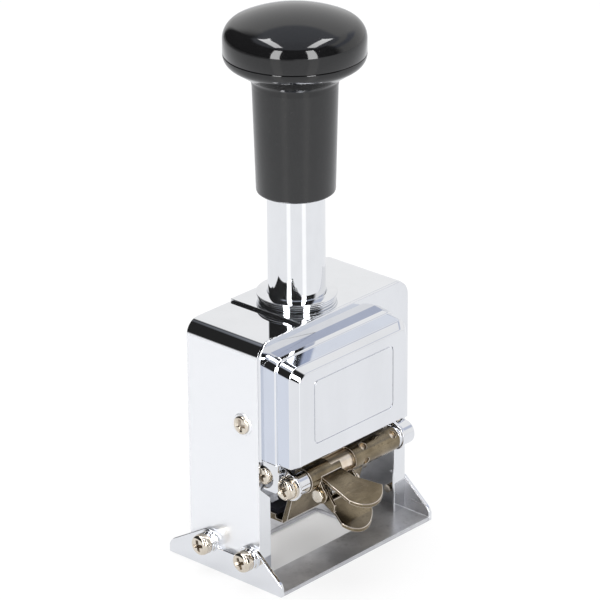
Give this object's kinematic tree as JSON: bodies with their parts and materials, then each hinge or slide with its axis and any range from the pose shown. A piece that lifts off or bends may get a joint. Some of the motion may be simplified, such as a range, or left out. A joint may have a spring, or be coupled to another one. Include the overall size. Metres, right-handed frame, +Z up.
{
  "type": "numbering machine",
  "caption": "Hand-pressed numbering machine: domed black plunger handle over a stepped chrome housing, with number wheels and a swinging ink holder.",
  "frame": {"origin": "point of the sole plane under the plunger axis, in the print opening of the base", "axes": "+Z up along the plunger, -Y out of the front cover, +X to the viewer's right when facing the front"},
  "size_m": [0.0689, 0.0582, 0.1579],
  "materials": {
    "chrome_sheet": "mirror plating on pressed sheet",
    "bright_steel": "bright turned",
    "nickel_screw": "warm nickel plating",
    "black_plastic": "gloss black moulding",
    "cast_steel": "dull plated",
    "spring_steel": "oiled spring wire",
    "type_metal": "satin turned with raised type",
    "brass": "satin brass",
    "bronze_sheet": "brown bronze plating on sheet",
    "tan_sleeve": "light satin sleeve",
    "ink_felt": "felt soaked with dark ink"
  },
  "bodies": {
    "frame": {"base_channel": "chrome_sheet", "base_washers": "bright_steel", "base_screws": "nickel_screw", "sunk_screws": "nickel_screw", "base_nuts": "bright_steel", "left_shell": "chrome_sheet", "right_shell": "chrome_sheet", "front_plate": "chrome_sheet", "face_cover": "chrome_sheet", "rear_plate": "chrome_sheet", "wall_cups": "chrome_sheet", "wall_screws": "nickel_screw", "guide_bracket_left": "cast_steel", "guide_bracket_right": "cast_steel", "guide_rods": "bright_steel", "return_springs": "spring_steel", "collar_bush": "chrome_sheet", "collar_nut": "chrome_sheet", "ink_arm_left": "chrome_sheet", "ink_arm_right": "chrome_sheet", "arm_washers": "bright_steel", "arm_screws": "nickel_screw", "arm_nuts": "bright_steel", "hinge_rod": "bright_steel", "rod_screw": "nickel_screw", "hinge_sleeve": "tan_sleeve"},
    "carriage": {"knob_cap": "black_plastic", "knob_flare": "black_plastic", "grip_sleeve": "black_plastic", "plunger_stem": "bright_steel", "stem_nut": "bright_steel", "crosshead": "cast_steel", "left_cheek": "cast_steel", "right_cheek": "cast_steel", "selector_plate": "cast_steel", "cheek_screws": "nickel_screw", "wheel_shaft": "bright_steel", "shaft_clips": "cast_steel", "detent_bar": "bright_steel", "detent_fingers": "brass", "detent_spring": "spring_steel"},
    "ink_holder": {"ink_holder": "bronze_sheet", "ink_pad": "ink_felt", "clip_pin": "nickel_screw", "clip_spring": "spring_steel"},
    "clip_lever": {"clip_lever": "bronze_sheet"},
    "rocker": {"feed_rocker": "cast_steel"},
    "pawls": {"feed_pawls": "brass"},
    "selector": {"repeat_selector": "brass"},
    "wheel_1": {"number_wheel_1": "type_metal"},
    "wheel_2": {"number_wheel_2": "type_metal"},
    "wheel_3": {"number_wheel_3": "type_metal"},
    "wheel_4": {"number_wheel_4": "type_metal"},
    "wheel_5": {"number_wheel_5": "type_metal"},
    "wheel_6": {"number_wheel_6": "type_metal"}
  },
  "joints": [
    {"name": "plunger_slide", "type": "slide", "parent": "frame", "child": "carriage", "axis": [0, 0, -1], "range_m": [0, 0.018], "stiffness_N_per_m": 500, "springref_m": -0.01, "deforming": ["return_springs"]},
    {"name": "ink_swing", "type": "hinge", "parent": "frame", "child": "ink_holder", "pos_m": [0, -0.0197, 0.0307], "axis": [-1, 0, 0], "range_deg": [0, 60]},
    {"name": "clip_squeeze", "type": "hinge", "parent": "ink_holder", "child": "clip_lever", "pos_m": [-0.0096, -0.023, 0.0262], "axis": [-1, 0, 0], "range_deg": [0, 10], "stiffness_Nm_per_rad": 0.02, "springref_deg": -20.05},
    {"name": "rocker_swing", "type": "hinge", "parent": "carriage", "child": "rocker", "pos_m": [0, -0.0025, 0.02775], "axis": [1, 0, 0], "range_deg": [0, 36]},
    {"name": "pawl_lift", "type": "hinge", "parent": "rocker", "child": "pawls", "pos_m": [0, 0.00906, 0.02876], "axis": [1, 0, 0], "range_deg": [0, 8], "stiffness_Nm_per_rad": 0.004, "springref_deg": -22.92},
    {"name": "selector_turn", "type": "hinge", "parent": "carriage", "child": "selector", "pos_m": [0, -0.0025, 0.02775], "axis": [1, 0, 0], "range_deg": [-20, 20]},
    {"name": "wheel_1_spin", "type": "hinge", "parent": "carriage", "child": "wheel_1", "pos_m": [-0.0165, -0.0025, 0.02775], "axis": [1, 0, 0], "continuous": true},
    {"name": "wheel_2_spin", "type": "hinge", "parent": "carriage", "child": "wheel_2", "pos_m": [-0.0119, -0.0025, 0.02775], "axis": [1, 0, 0], "continuous": true},
    {"name": "wheel_3_spin", "type": "hinge", "parent": "carriage", "child": "wheel_3", "pos_m": [-0.0073, -0.0025, 0.02775], "axis": [1, 0, 0], "continuous": true},
    {"name": "wheel_4_spin", "type": "hinge", "parent": "carriage", "child": "wheel_4", "pos_m": [-0.0027, -0.0025, 0.02775], "axis": [1, 0, 0], "continuous": true},
    {"name": "wheel_5_spin", "type": "hinge", "parent": "carriage", "child": "wheel_5", "pos_m": [0.0019, -0.0025, 0.02775], "axis": [1, 0, 0], "continuous": true},
    {"name": "wheel_6_spin", "type": "hinge", "parent": "carriage", "child": "wheel_6", "pos_m": [0.0065, -0.0025, 0.02775], "axis": [1, 0, 0], "continuous": true}
  ],
  "couplings": [
    {"joint": "ink_swing", "follows": "plunger_slide", "rad_per_m": 58.178},
    {"joint": "rocker_swing", "follows": "plunger_slide", "rad_per_m": 34.907}
  ]
}
